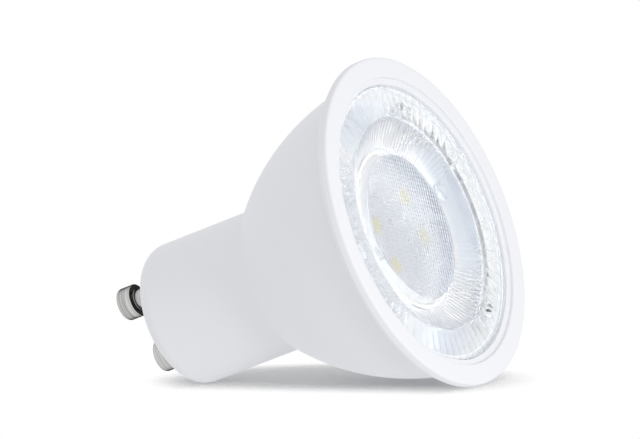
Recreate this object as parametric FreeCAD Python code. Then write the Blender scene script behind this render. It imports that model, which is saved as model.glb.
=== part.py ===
import FreeCAD, Part
import math
import os

# Spot lamp with a two-pin twist base, standing on its front rim.
# The origin is the centre of the rim's front face, and +Z runs along the lamp's axis to the contact pins.
# Sizes are in millimetres and angles in degrees.

# Housing
rim_diameter = 50.0
rim_edge_height = 1.2
rim_edge_round = 0.4
rim_height = 2.05
rim_back_diameter = 48.7
cup_mouth_diameter = 45.0
cup_crease_round = 0.5
cup_arc_radius = 38.4
cup_depth = 26.05
cup_wall = 1.8
barrel_diameter = 21.5
barrel_wall = 1.4
body_length = 45.1
base_wall = 2.0
base_edge_round = 2.5
cup_wall_steps = 4

# Lens recess in the rim
recess_mouth_diameter = 43.8
recess_mouth_depth = 0.6
lens_recess_diameter = 42.0
lens_set_back = 1.0
lens_fit = 0.15

# Lens
flange_thickness = 1.2
window_diameter = 32.9
window_step = 0.3
window_bevel = 0.3
collimator_depth = 7.0
collimator_base_diameter = 26.0
collimator_edge_gap = 0.15
collimator_sides = 90
collimator_rows = 5
collimator_bulge = 0.75
cavity_diameter = 22.9
cavity_draft = 0.3
centre_plate_thickness = 4.3
rib_count = 72
rib_rows = 2
rib_height = 0.5
rib_row_gap = 0.2
rib_clearance = 0.15
rib_end_slope = 0.5
rib_root = 0.4
gate_angle = 96.5
gate_width = 1.0
gate_height = 0.25
hook_count = 3
hook_angle = 54.0
hook_width = 3.0
hook_thickness = 0.9
hook_length = 3.8
hook_barb = 0.7
hook_barb_height = 1.2
hook_fit = 0.2

# Heat sink
heat_sink_wall = 0.8
heat_sink_floor = 1.0
heat_sink_base_diameter = 38.0
heat_sink_fit = 0.08

# LED board
led_board_margin = 0.2
led_board_thickness = 1.0
led_board_turn = 104.7
led_size = 3.0
led_height = 0.7
led_window = 2.4
led_window_depth = 0.35
led_pair_spacing = 7.1
led_row_spacing = 13.0
screw_shank_diameter = 1.7
screw_head_diameter = 3.0
screw_head_top_diameter = 2.25
screw_head_height = 1.0
screw_length = 3.6
screw_slot = 0.5
screw_fit = 0.08
screw_clearance = 0.5
wire_hole_offset = 1.8

# Contact pins
pin_spacing = 10.0
pin_reach = 6.1
pin_head_diameter = 4.9
pin_head_height = 2.45
pin_head_chamfer = 0.3
pin_neck_diameter = 3.0
pin_collar_diameter = 4.2
pin_collar_height = 0.6
pin_tail_diameter = 2.2
pin_tail_length = 2.3
pin_cup_depth = 2.0
pin_fit = 0.05
pin_boss_diameter = 5.6
pin_boss_height = 2.4

# Wires
wire_diameter = 1.0
wire_fit = 0.05
wire_bend = 1.6
pin_wire_drop = 3.6
pin_wire_slope = 2.8
pin_wire_pad = 2.2
led_wire_pad_height = 2.0
led_wire_pad_reach = 5.2
lead_diameter = 0.6
lead_bend = 0.5
lead_reach = 0.9

# Driver board
driver_board_offset = 3.0
driver_board_thickness = 1.0
driver_board_fit = 0.1
driver_board_side_gap = 0.3
driver_board_clearance = 2.8
rail_thickness = 1.0
rail_reach = 1.2

# Parts on the driver board, each placed by its x and its height above the board's low edge
input_capacitor_diameter = 8.0
input_capacitor_length = 11.5
input_capacitor_lead_spacing = 3.5
input_capacitor_place = (0.0, 9.3)
output_capacitor_diameter = 6.3
output_capacitor_length = 8.0
output_capacitor_lead_spacing = 2.5
output_capacitor_place = (-5.4, -1.0)
capacitor_seat = 0.1
capacitor_edge = 0.4
choke_diameter = 8.0
choke_height = 8.0
choke_flange = 1.2
choke_core_diameter = 4.0
choke_winding_diameter = 6.8
choke_fit = 0.05
choke_place = (4.0, 3.8)
resistor_diameter = 2.4
resistor_waist_diameter = 2.0
resistor_length = 6.5
resistor_cap_length = 1.6
resistor_place = (6.6, 9.0)
rectifier_size = (4.7, 3.9, 2.4)
rectifier_place = (0.0, 21.0)
chip_size = (3.9, 4.9, 1.5)
chip_place = (0.0, 11.5)
diode_size = (2.6, 4.3, 2.2)
diode_place = (0.0, 4.5)
leg_thickness = 0.25
leg_reach = 1.0
leg_width = 0.5
chip_resistor_size = (1.25, 2.0, 0.55)
chip_resistor_places = [(-4.5, 7.5), (-4.5, 10.5), (4.5, 10.5), (4.5, 13.5), (-4.5, 16.5)]
chip_capacitor_size = (1.25, 2.0, 0.9)
chip_capacitor_places = [(4.5, 7.5), (-4.5, 13.5)]

# Worked-out radii
rim_radius = rim_diameter / 2
rim_back_radius = rim_back_diameter / 2
cup_mouth_radius = cup_mouth_diameter / 2
barrel_radius = barrel_diameter / 2
barrel_bore = barrel_radius - barrel_wall
recess_mouth_radius = recess_mouth_diameter / 2
lens_recess_radius = lens_recess_diameter / 2
lens_radius = lens_recess_radius - lens_fit
window_radius = window_diameter / 2
cavity_radius = cavity_diameter / 2
wire_radius = wire_diameter / 2
lead_radius = lead_diameter / 2
pin_neck_radius = pin_neck_diameter / 2

# Circles on the LED board, which keep clear of the lens's foot, and the board that holds them
board_screw_circle = collimator_base_diameter + 2 * screw_clearance + screw_head_diameter
wire_hole_circle = collimator_base_diameter + 2 * wire_hole_offset
led_board_diameter = board_screw_circle + screw_head_diameter + 2 * led_board_margin

# Worked-out heights along the axis
lens_back = lens_set_back + flange_thickness
window_front = lens_set_back + window_step
cavity_ceiling = window_front + centre_plate_thickness
led_board_front = lens_back + collimator_depth
led_board_back = led_board_front + led_board_thickness
heat_sink_seat = led_board_back + heat_sink_floor
base_inside = body_length - base_wall
boss_end = base_inside - pin_boss_height
pin_tip = body_length + pin_reach
board_low = heat_sink_seat + driver_board_clearance
board_high = base_inside - driver_board_fit
board_face = driver_board_offset
board_back = driver_board_offset + driver_board_thickness

# Centre of the cup's arc, in radius and height
chord_height = cup_depth - rim_height
chord_fall = cup_mouth_radius - barrel_radius
chord_half = math.hypot(chord_height, chord_fall) / 2
arc_offset = math.sqrt(cup_arc_radius ** 2 - chord_half ** 2)
arc_centre_height = (rim_height + cup_depth) / 2 - arc_offset * chord_fall / (2 * chord_half)
arc_centre_radius = (cup_mouth_radius + barrel_radius) / 2 - arc_offset * chord_height / (2 * chord_half)

axis = FreeCAD.Vector(0, 0, 1)
origin = FreeCAD.Vector(0, 0, 0)
side = FreeCAD.Vector(0, 1, 0)


def cup_radius(height, depth_in):
    """Radius of the cup's arc at a height, moved in by a wall."""
    reach = cup_arc_radius - depth_in
    return arc_centre_radius + math.sqrt(reach ** 2 - (height - arc_centre_height) ** 2)


def cup_height(radius, depth_in):
    """Height at which the cup's arc, moved in by a wall, has a radius."""
    reach = cup_arc_radius - depth_in
    return arc_centre_height + math.sqrt(reach ** 2 - (radius - arc_centre_radius) ** 2)


def section_point(radius, height):
    return FreeCAD.Vector(radius, 0, height)


def polar_point(radius, angle, height):
    return FreeCAD.Vector(
        radius * math.cos(math.radians(angle)), radius * math.sin(math.radians(angle)), height
    )


def straight_edges(points):
    """Line edges through points of a half section, each a radius and a height."""
    vectors = [section_point(*point) for point in points]
    return [Part.LineSegment(a, b).toShape() for a, b in zip(vectors, vectors[1:])]


def arc_edge(centre, radius, start, end):
    """Arc of a half section about a centre, between two angles from the radius direction."""
    angles = [start, (start + end) / 2, end]
    points = [
        section_point(
            centre[0] + radius * math.cos(math.radians(angle)),
            centre[1] + radius * math.sin(math.radians(angle)),
        )
        for angle in angles
    ]
    return Part.Arc(*points).toShape()


def revolve(edges):
    """Solid of revolution about the lamp's axis from the edges of a closed half section."""
    face = Part.Face(Part.Wire(edges))
    return face.revolve(origin, axis, 360)


def revolve_points(points):
    return revolve(straight_edges(points + points[:1]))


def box(low, high):
    size = [b - a for a, b in zip(low, high)]
    return Part.makeBox(*size, FreeCAD.Vector(*low))


def turned(shape, angle):
    """Copy of a shape turned about the lamp's axis."""
    copy = shape.copy()
    copy.rotate(origin, axis, angle)
    return copy


def laid_on_board(shape, place, face, outward):
    """Piece made about +Z, laid with its foot on one face of the driver board at an x and a height."""
    copy = shape.copy()
    copy.rotate(origin, FreeCAD.Vector(1, 0, 0), -90 * outward)
    copy.translate(FreeCAD.Vector(place[0], face, board_low + place[1]))
    return copy


def facet(points):
    """Flat face through corner points."""
    return Part.Face(Part.makePolygon(points + points[:1]))


def solid_of(faces):
    """Solid enclosed by flat faces that meet edge to edge."""
    shell = Part.Shell(faces)
    shell.sewShape()
    solid = Part.Solid(shell)
    if solid.Volume < 0:
        solid.reverse()
    return solid


def swept_wire(points, radius, bend):
    """Round wire along straight runs joined by tangent arcs."""
    edges = []
    start = points[0]
    for before, corner, after in zip(points, points[1:], points[2:]):
        into = (corner - before).normalize()
        out = (after - corner).normalize()
        setback = bend * math.tan(into.getAngle(out) / 2)
        arc_start = corner - into * setback
        arc_end = corner + out * setback
        inward = (out - into).normalize()
        half_turn = into.getAngle(out) / 2
        arc_middle = corner + inward * (bend / math.cos(half_turn) - bend)
        edges.append(Part.LineSegment(start, arc_start).toShape())
        edges.append(Part.Arc(arc_start, arc_middle, arc_end).toShape())
        start = arc_end
    edges.append(Part.LineSegment(start, points[-1]).toShape())
    section = Part.Wire(Part.makeCircle(radius, points[0], points[1] - points[0]))
    return Part.Wire(edges).makePipeShell([section], True, True)


def heat_sink_radius(height):
    """Outer radius of the tapered heat sink at a height."""
    mouth = lens_recess_radius - heat_sink_fit
    share = (height - lens_back) / (heat_sink_seat - lens_back)
    return mouth + share * (heat_sink_base_diameter / 2 - mouth)


def led_board_point(along, across, height):
    """Point on the LED board: along the line between its two rows of LEDs, and across it."""
    turn = math.radians(led_board_turn)
    x = along * math.cos(turn) - across * math.sin(turn)
    y = along * math.sin(turn) + across * math.cos(turn)
    return FreeCAD.Vector(x, y, height)


def cup_crease():
    """Centre, end on the cup and middle of the round in the crease between the rim's back and the cup."""
    centre_height = rim_height + cup_crease_round
    reach = cup_arc_radius + cup_crease_round
    centre_radius = arc_centre_radius + math.sqrt(reach ** 2 - (centre_height - arc_centre_height) ** 2)
    lean = math.atan2(centre_height - arc_centre_height, centre_radius - arc_centre_radius)
    end = (
        centre_radius - cup_crease_round * math.cos(lean),
        centre_height - cup_crease_round * math.sin(lean),
    )
    middle_angle = (lean + math.pi + 3 * math.pi / 2) / 2
    middle = (
        centre_radius + cup_crease_round * math.cos(middle_angle),
        centre_height + cup_crease_round * math.sin(middle_angle),
    )
    return (centre_radius, centre_height), end, middle


def make_housing():
    """Rim, cup, barrel and base in one moulding, with pin bosses and rails for the driver board inside."""
    base_corner = (barrel_radius - base_edge_round, body_length - base_edge_round)
    rim_corner = (rim_radius - rim_edge_round, rim_edge_round)
    crease_centre, crease_end, crease_middle = cup_crease()
    cup_middle = (crease_end[1] + cup_depth) / 2
    inside_crease = cup_height(barrel_bore, cup_wall)
    step = (inside_crease - heat_sink_seat) / cup_wall_steps
    stations = [inside_crease - step * i for i in range(cup_wall_steps + 1)]
    bore_base = heat_sink_radius(heat_sink_seat) + heat_sink_fit
    outline = straight_edges([(recess_mouth_radius, 0), (rim_radius - rim_edge_round, 0)])
    outline.append(arc_edge(rim_corner, rim_edge_round, -90, 0))
    outline += straight_edges(
        [
            (rim_radius, rim_edge_round),
            (rim_radius, rim_edge_height),
            (rim_back_radius, rim_height),
            (crease_centre[0], rim_height),
        ]
    )
    outline.append(
        Part.Arc(
            section_point(crease_centre[0], rim_height),
            section_point(*crease_middle),
            section_point(*crease_end),
        ).toShape()
    )
    outline.append(
        Part.Arc(
            section_point(*crease_end),
            section_point(cup_radius(cup_middle, 0), cup_middle),
            section_point(barrel_radius, cup_depth),
        ).toShape()
    )
    outline += straight_edges([(barrel_radius, cup_depth), (barrel_radius, body_length - base_edge_round)])
    outline.append(arc_edge(base_corner, base_edge_round, 0, 90))
    inside = [(barrel_radius - base_edge_round, body_length), (0, body_length), (0, base_inside)]
    inside.append((barrel_bore, base_inside))
    inside += [(cup_radius(height, cup_wall), height) for height in stations]
    inside += [
        (bore_base, heat_sink_seat),
        (lens_recess_radius, lens_back),
        (lens_recess_radius, recess_mouth_depth),
        (recess_mouth_radius, recess_mouth_depth),
        (recess_mouth_radius, 0),
    ]
    outline += straight_edges(inside)
    body = revolve(outline)
    rails_inside = Part.makeCylinder(
        barrel_bore + barrel_wall / 2, base_inside - inside_crease, section_point(0, inside_crease)
    )
    rail_inner = barrel_bore - rail_reach - driver_board_side_gap
    lower_face = board_face - driver_board_fit
    upper_face = board_back + driver_board_fit
    rail_sides = [(lower_face - rail_thickness, lower_face), (upper_face, upper_face + rail_thickness)]
    additions = []
    for sign in (-1, 1):
        low_x, high_x = sorted((sign * rail_inner, sign * barrel_radius))
        for low_y, high_y in rail_sides:
            rail = box((low_x, low_y, inside_crease), (high_x, high_y, base_inside))
            additions.append(rail.common(rails_inside))
        centre = FreeCAD.Vector(sign * pin_spacing / 2, 0, boss_end)
        additions.append(Part.makeCylinder(pin_boss_diameter / 2, pin_boss_height, centre))
    body = body.fuse(additions)
    for sign in (-1, 1):
        centre = FreeCAD.Vector(sign * pin_spacing / 2, 0, boss_end)
        bore = Part.makeCylinder(pin_neck_radius + pin_fit, pin_boss_height + base_wall, centre)
        body = body.cut(bore)
    return body.removeSplitter()


def make_hook():
    """Sprung arm behind the lens flange, with a barb that catches in the heat sink's window."""
    tip = lens_back + hook_length
    wall_inside = heat_sink_radius(tip) - heat_sink_wall
    outer = wall_inside - hook_fit
    barb_start = tip - hook_barb_height
    outline = [
        (outer - hook_thickness, lens_back - rib_root),
        (outer, lens_back - rib_root),
        (outer, barb_start),
        (outer + hook_barb, barb_start),
        (outer, tip),
        (outer - hook_thickness, tip),
    ]
    points = [FreeCAD.Vector(x, -hook_width / 2, z) for x, z in outline]
    return facet(points).extrude(side * hook_width)


def make_collimator():
    """Tapering ring of three-cornered facets, each row steeper than the one before and turned half a facet."""
    front_radius = window_radius - collimator_edge_gap
    base_radius = collimator_base_diameter / 2
    pitch = 360 / collimator_sides
    inside_plate = window_front + window_step
    rings = [[polar_point(front_radius, pitch * i, inside_plate) for i in range(collimator_sides)]]
    for row in range(collimator_rows + 1):
        share = row / collimator_rows
        height = lens_back + share * collimator_depth
        radius = front_radius + (base_radius - front_radius) * share ** (1 / collimator_bulge)
        turn = pitch / 2 * (row % 2)
        rings.append([polar_point(radius, pitch * i + turn, height) for i in range(collimator_sides)])
    faces = [facet(rings[0]), facet(rings[-1])]
    for number, (lower, upper) in enumerate(zip(rings, rings[1:])):
        for i in range(collimator_sides):
            after = (i + 1) % collimator_sides
            if number == 0:
                faces.append(facet([lower[i], lower[after], upper[after], upper[i]]))
            elif number % 2 == 1:
                faces.append(facet([lower[i], lower[after], upper[i]]))
                faces.append(facet([lower[after], upper[after], upper[i]]))
            else:
                faces.append(facet([lower[i], lower[after], upper[after]]))
                faces.append(facet([lower[i], upper[after], upper[i]]))
    return solid_of(faces)


def make_rib_row(row):
    """Ring of radial ridges with sloped ends behind the flange. The next row out is turned half a ridge."""
    root = lens_back - rib_root
    top = lens_back + rib_height
    ring_outer = heat_sink_radius(top) - heat_sink_wall - rib_clearance
    row_step = (ring_outer - window_radius + rib_row_gap) / rib_rows
    inner = window_radius + row * row_step
    outer = inner + row_step - rib_row_gap
    pitch = 360 / rib_count
    turn = pitch / 2 * row
    faces = []
    for i in range(rib_count):
        low_angle = pitch * i + turn
        high_angle = pitch * ((i + 1) % rib_count) + turn
        middle = low_angle + pitch / 2
        root_corners = [
            polar_point(inner, low_angle, root),
            polar_point(inner, high_angle, root),
            polar_point(outer, high_angle, root),
            polar_point(outer, low_angle, root),
        ]
        a, b, c, d = [FreeCAD.Vector(corner.x, corner.y, lens_back) for corner in root_corners]
        ridge_in = polar_point(inner + rib_end_slope, middle, top)
        ridge_out = polar_point(outer - rib_end_slope, middle, top)
        faces.append(facet(root_corners))
        faces.append(facet([root_corners[0], root_corners[1], b, a]))
        faces.append(facet([root_corners[3], root_corners[2], c, d]))
        slopes = [(a, b, ridge_in), (c, d, ridge_out), (b, c, ridge_in), (c, ridge_out, ridge_in)]
        slopes += [(d, a, ridge_in), (d, ridge_in, ridge_out)]
        faces += [facet(list(slope)) for slope in slopes]
    return solid_of(faces)


def make_lens():
    """Clear front: flange with ribs behind, stepped window, faceted collimator and a hollow for the LEDs."""
    plate = revolve_points(
        [
            (0, window_front),
            (window_radius - window_bevel, window_front),
            (window_radius, lens_set_back),
            (lens_radius, lens_set_back),
            (lens_radius, lens_back),
            (0, lens_back),
        ]
    )
    cavity = revolve_points(
        [
            (0, cavity_ceiling),
            (cavity_radius, cavity_ceiling),
            (cavity_radius + cavity_draft, led_board_front),
            (0, led_board_front),
        ]
    )
    gate = box(
        (window_radius, -gate_width / 2, lens_set_back - gate_height),
        (lens_radius - lens_fit, gate_width / 2, lens_back),
    )
    hook = make_hook()
    additions = [make_collimator(), turned(gate, gate_angle)]
    additions += [make_rib_row(row) for row in range(rib_rows)]
    additions += [turned(hook, hook_angle + 360 * i / hook_count) for i in range(hook_count)]
    return plate.fuse(additions).cut(cavity)


def make_heat_sink():
    """Tapered aluminium cup with a flat floor, windows for the lens hooks and holes for screws and wires."""
    mouth = heat_sink_radius(lens_back)
    base = heat_sink_radius(heat_sink_seat)
    floor_edge = heat_sink_radius(led_board_back)
    cup = revolve_points(
        [
            (0, led_board_back),
            (floor_edge - heat_sink_wall, led_board_back),
            (mouth - heat_sink_wall, lens_back),
            (mouth, lens_back),
            (base, heat_sink_seat),
            (0, heat_sink_seat),
        ]
    )
    tip = lens_back + hook_length
    window_low = tip - hook_barb_height - hook_fit
    window = box(
        (window_radius, -hook_width / 2 - hook_fit, window_low),
        (lens_recess_radius, hook_width / 2 + hook_fit, tip + hook_fit),
    )
    cuts = [turned(window, hook_angle + 360 * i / hook_count) for i in range(hook_count)]
    for sign in (-1, 1):
        screw_centre = led_board_point(sign * board_screw_circle / 2, 0, led_board_back)
        cuts.append(Part.makeCylinder(screw_shank_diameter / 2 + screw_fit, heat_sink_floor, screw_centre))
        wire_centre = led_board_point(0, sign * wire_hole_circle / 2, led_board_back)
        cuts.append(Part.makeCylinder(wire_radius + wire_fit, heat_sink_floor, wire_centre))
    return cup.cut(cuts)


def make_led_board():
    board = Part.makeCylinder(led_board_diameter / 2, led_board_thickness, section_point(0, led_board_front))
    screw_hole = screw_shank_diameter / 2 + screw_fit
    cuts = []
    for sign in (-1, 1):
        screw_centre = led_board_point(sign * board_screw_circle / 2, 0, led_board_front)
        cuts.append(Part.makeCylinder(screw_hole, led_board_thickness, screw_centre))
        wire_centre = led_board_point(0, sign * wire_hole_circle / 2, led_board_front)
        cuts.append(Part.makeCylinder(wire_radius + wire_fit, led_board_thickness, wire_centre))
    return board.cut(cuts)


def led_places():
    """Centres of the four LEDs along and across the board: two rows of two."""
    return [(row * led_row_spacing / 2, pair * led_pair_spacing / 2) for row in (1, -1) for pair in (1, -1)]


def led_block(size, low, high, place):
    """Square block of an LED between two heights, turned with its board."""
    block = box((-size / 2, -size / 2, low), (size / 2, size / 2, high))
    block = turned(block, led_board_turn)
    block.translate(led_board_point(place[0], place[1], 0))
    return block


def make_led_body(place):
    """White package with a square well for the phosphor in its front."""
    front = led_board_front - led_height
    body = led_block(led_size, front, led_board_front, place)
    return body.cut(led_block(led_window, front, front + led_window_depth, place))


def make_led_phosphor(place):
    front = led_board_front - led_height
    return led_block(led_window, front, front + led_window_depth, place)


def make_board_screw(sign):
    """Pan-head screw through the LED board into the heat sink's floor."""
    head_top = led_board_front - screw_head_height
    shank = screw_shank_diameter / 2
    head = screw_head_diameter / 2
    screw = revolve_points(
        [
            (0, head_top),
            (screw_head_top_diameter / 2, head_top),
            (head, head_top + screw_head_height / 2),
            (head, led_board_front),
            (shank, led_board_front),
            (shank, led_board_front + screw_length - shank),
            (0, led_board_front + screw_length),
        ]
    )
    slot = box((-head, -screw_slot / 2, head_top), (head, screw_slot / 2, head_top + screw_slot))
    screw = screw.cut(slot)
    screw.translate(led_board_point(sign * board_screw_circle / 2, 0, 0))
    return screw


def make_contact_pin(sign):
    """Turned pin: wide head, narrow neck, collar behind the boss and a cup at the tail for its wire."""
    head = pin_head_diameter / 2
    collar = pin_collar_diameter / 2
    tail = pin_tail_diameter / 2
    cup = wire_radius + wire_fit
    tail_end = boss_end - pin_collar_height - pin_tail_length
    pin = revolve_points(
        [
            (0, pin_tip),
            (head - pin_head_chamfer, pin_tip),
            (head, pin_tip - pin_head_chamfer),
            (head, pin_tip - pin_head_height),
            (pin_neck_radius, pin_tip - pin_head_height),
            (pin_neck_radius, boss_end),
            (collar, boss_end),
            (collar, boss_end - pin_collar_height),
            (tail, boss_end - pin_collar_height),
            (tail, tail_end),
            (cup, tail_end),
            (cup, tail_end + pin_cup_depth),
            (0, tail_end + pin_cup_depth),
        ]
    )
    pin.translate(FreeCAD.Vector(sign * pin_spacing / 2, 0, 0))
    return pin


def make_pin_wire(sign):
    """Wire from the pin's tail to a pad on the near face of the driver board."""
    x = sign * pin_spacing / 2
    start = boss_end - pin_collar_height - pin_tail_length + pin_cup_depth
    bend_start = start - pin_wire_drop
    pad_top = bend_start - pin_wire_slope
    laid = board_face - wire_radius - wire_fit
    points = [
        FreeCAD.Vector(x, 0, start),
        FreeCAD.Vector(x, 0, bend_start),
        FreeCAD.Vector(x, laid, pad_top),
        FreeCAD.Vector(x, laid, pad_top - pin_wire_pad),
    ]
    return swept_wire(points, wire_radius, wire_bend)


def make_led_wire(sign):
    """Wire from a hole in the LED board, round the driver board's edge, to a pad on its far face."""
    hole = led_board_point(0, -sign * wire_hole_circle / 2, 0)
    laid = board_back + wire_radius + wire_fit
    pad_height = board_low + led_wire_pad_height
    corner = barrel_bore + wire_diameter
    points = [
        FreeCAD.Vector(hole.x, hole.y, led_board_front),
        FreeCAD.Vector(hole.x, hole.y, board_low),
        FreeCAD.Vector(sign * corner, laid, pad_height),
        FreeCAD.Vector(sign * (corner - led_wire_pad_reach), laid, pad_height),
    ]
    return swept_wire(points, wire_radius, wire_bend)


def make_driver_board():
    half_width = math.sqrt(barrel_bore ** 2 - board_back ** 2) - driver_board_side_gap
    return box((-half_width, board_face, board_low), (half_width, board_back, board_high))


def make_lead(x, start, bend_height, depth):
    """Component lead that leaves along the axis and turns in to the driver board's near face."""
    points = [
        FreeCAD.Vector(x, depth, start),
        FreeCAD.Vector(x, depth, bend_height),
        FreeCAD.Vector(x, board_face, bend_height),
    ]
    return swept_wire(points, lead_radius, lead_bend)


def make_capacitor(diameter, length, lead_spacing, place, lead_direction):
    """Electrolytic capacitor lying on the driver board, with both leads bent down to it at one end."""
    radius = diameter / 2
    centre_depth = board_face - capacitor_seat - radius
    low = board_low + place[1]
    can = revolve_points(
        [
            (0, 0),
            (radius - capacitor_edge, 0),
            (radius, capacitor_edge),
            (radius, length - capacitor_edge),
            (radius - capacitor_edge, length),
            (0, length),
        ]
    )
    can.translate(FreeCAD.Vector(place[0], centre_depth, low))
    end = low + length if lead_direction > 0 else low
    leads = [
        make_lead(
            place[0] + lead_side * lead_spacing / 2,
            end - lead_direction * capacitor_edge,
            end + lead_direction * lead_reach,
            centre_depth,
        )
        for lead_side in (-1, 1)
    ]
    return can.fuse(leads)


def make_choke_core():
    """Ferrite drum standing on the driver board."""
    flange = choke_diameter / 2
    core = choke_core_diameter / 2
    drum = revolve_points(
        [
            (0, 0),
            (flange, 0),
            (flange, choke_flange),
            (core, choke_flange),
            (core, choke_height - choke_flange),
            (flange, choke_height - choke_flange),
            (flange, choke_height),
            (0, choke_height),
        ]
    )
    return laid_on_board(drum, choke_place, board_face, -1)


def make_choke_winding():
    """Copper coil wound between the drum's flanges."""
    inner = choke_core_diameter / 2 + choke_fit
    outer = choke_winding_diameter / 2
    low = choke_flange + choke_fit
    high = choke_height - choke_flange - choke_fit
    coil = revolve_points([(inner, low), (outer, low), (outer, high), (inner, high)])
    return laid_on_board(coil, choke_place, board_face, -1)


def make_fusible_resistor():
    """Axial resistor with swollen ends, lying along the driver board on its bent leads."""
    radius = resistor_diameter / 2
    waist = resistor_waist_diameter / 2
    body = revolve_points(
        [
            (0, 0),
            (radius, 0),
            (radius, resistor_cap_length),
            (waist, resistor_cap_length),
            (waist, resistor_length - resistor_cap_length),
            (radius, resistor_length - resistor_cap_length),
            (radius, resistor_length),
            (0, resistor_length),
        ]
    )
    centre_depth = board_face - capacitor_seat - radius
    low = board_low + resistor_place[1]
    high = low + resistor_length
    body.translate(FreeCAD.Vector(resistor_place[0], centre_depth, low))
    leads = [
        make_lead(resistor_place[0], low + capacitor_edge, low - lead_reach, centre_depth),
        make_lead(resistor_place[0], high - capacitor_edge, high + lead_reach, centre_depth),
    ]
    return body.fuse(leads)


def make_leaded_chip(size, place, legs_per_side):
    """Moulded chip on the far face of the driver board, with flat legs along its two long sides."""
    width, length, height = size
    body = box((-width / 2, -length / 2, leg_thickness), (width / 2, length / 2, height))
    pitch = length / legs_per_side
    legs = []
    for sign in (-1, 1):
        for i in range(legs_per_side):
            middle = (i - (legs_per_side - 1) / 2) * pitch
            low_x, high_x = sorted((sign * (width / 2 - leg_width), sign * (width / 2 + leg_reach)))
            legs.append(
                box((low_x, middle - leg_width / 2, 0), (high_x, middle + leg_width / 2, leg_thickness))
            )
    return laid_on_board(body.fuse(legs), place, board_back, 1)


def make_chip_block(size, place):
    width, length, height = size
    block = box((-width / 2, -length / 2, 0), (width / 2, length / 2, height))
    return laid_on_board(block, place, board_back, 1)


def save(shape, name):
    shape.exportStep(f"parts/{name}.step")


os.makedirs("parts", exist_ok=True)
save(make_housing(), "housing")
save(make_heat_sink(), "heat_sink")
save(make_lens(), "lens")
save(make_led_board(), "led_board")
for number, place in enumerate(led_places(), start=1):
    save(make_led_body(place), f"led_body_{number}")
    save(make_led_phosphor(place), f"led_phosphor_{number}")
save(Part.makeCompound([make_board_screw(sign) for sign in (-1, 1)]), "board_screws")
save(make_contact_pin(1), "contact_pin_live")
save(make_contact_pin(-1), "contact_pin_neutral")
save(make_pin_wire(1), "live_wire")
save(make_pin_wire(-1), "neutral_wire")
save(make_led_wire(1), "led_wire_positive")
save(make_led_wire(-1), "led_wire_negative")
save(make_driver_board(), "driver_board")
input_sizes = (input_capacitor_diameter, input_capacitor_length, input_capacitor_lead_spacing)
save(make_capacitor(*input_sizes, input_capacitor_place, -1), "input_capacitor")
output_sizes = (output_capacitor_diameter, output_capacitor_length, output_capacitor_lead_spacing)
save(make_capacitor(*output_sizes, output_capacitor_place, 1), "output_capacitor")
save(make_choke_core(), "choke_core")
save(make_choke_winding(), "choke_winding")
save(make_fusible_resistor(), "fusible_resistor")
save(make_leaded_chip(rectifier_size, rectifier_place, 2), "bridge_rectifier")
save(make_leaded_chip(chip_size, chip_place, 4), "driver_chip")
save(make_leaded_chip(diode_size, diode_place, 1), "output_diode")
save(
    Part.makeCompound([make_chip_block(chip_resistor_size, place) for place in chip_resistor_places]),
    "chip_resistors",
)
save(
    Part.makeCompound([make_chip_block(chip_capacitor_size, place) for place in chip_capacitor_places]),
    "chip_capacitors",
)
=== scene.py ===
import math

import bpy
import numpy as np
from mathutils import Matrix, Vector
from mathutils.geometry import delaunay_2d_cdt


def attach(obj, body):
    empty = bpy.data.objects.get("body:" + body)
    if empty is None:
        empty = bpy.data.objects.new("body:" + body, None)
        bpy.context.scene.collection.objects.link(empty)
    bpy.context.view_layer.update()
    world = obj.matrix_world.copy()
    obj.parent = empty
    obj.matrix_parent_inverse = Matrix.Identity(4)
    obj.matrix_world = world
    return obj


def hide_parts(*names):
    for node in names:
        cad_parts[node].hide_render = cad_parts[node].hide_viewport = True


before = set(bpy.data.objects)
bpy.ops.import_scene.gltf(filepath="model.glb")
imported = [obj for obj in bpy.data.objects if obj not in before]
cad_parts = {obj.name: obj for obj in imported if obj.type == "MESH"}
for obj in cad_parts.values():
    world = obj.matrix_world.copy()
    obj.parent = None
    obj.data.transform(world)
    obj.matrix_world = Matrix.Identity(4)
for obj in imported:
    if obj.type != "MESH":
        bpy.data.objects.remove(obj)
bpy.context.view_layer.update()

# Sizes are in metres. MM turns the lamp's drawing sizes into metres.
MM = 0.001

# Photograph: picture size, where the centre of the rim's front lies in it, how many pixels a
# millimetre takes there, and how the lamp's axis lies
PHOTO_WIDTH = 640
PHOTO_HEIGHT = 439
RIM_CENTRE_PIXEL = (427.44, 220.21)
PIXELS_PER_MM = 6.917
AXIS_TO_VIEW = math.radians(60.62)
AXIS_IN_PICTURE = math.radians(158.60)
CAMERA_AZIMUTH = math.radians(26.0)
CAMERA_DISTANCE = 1200 * MM
SENSOR_WIDTH = 36.0
CLIP_START = 10 * MM
CLIP_END = 10.0

# Housing: sizes as in the part's source, and the roundings of its edges
RIM_RADIUS = 25.0 * MM
RIM_EDGE_HEIGHT = 1.2 * MM
RIM_EDGE_ROUND = 0.4 * MM
RIM_BACK_ROUND = 0.25 * MM
RIM_HEIGHT = 2.05 * MM
RIM_BACK_RADIUS = 24.35 * MM
CUP_MOUTH_RADIUS = 22.5 * MM
CUP_CREASE_ROUND = 0.5 * MM
CUP_CREASE_REACH = 0.7 * MM
CUP_ARC_RADIUS = 38.4 * MM
CUP_DEPTH = 26.05 * MM
CUP_WALL = 1.8 * MM
CUP_STEPS = 60
CUP_WALL_STEPS = 12
BARREL_RADIUS = 10.75 * MM
BARREL_BORE = 9.35 * MM
BARREL_CREASE_ROUND = 0.5 * MM
BODY_LENGTH = 45.1 * MM
BASE_INSIDE = 43.1 * MM
BASE_EDGE_ROUND = 2.5 * MM
RECESS_MOUTH_RADIUS = 21.9 * MM
RECESS_MOUTH_ROUND = 0.2 * MM
RECESS_MOUTH_DEPTH = 0.6 * MM
RECESS_LEDGE_ROUND = 0.1 * MM
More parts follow.
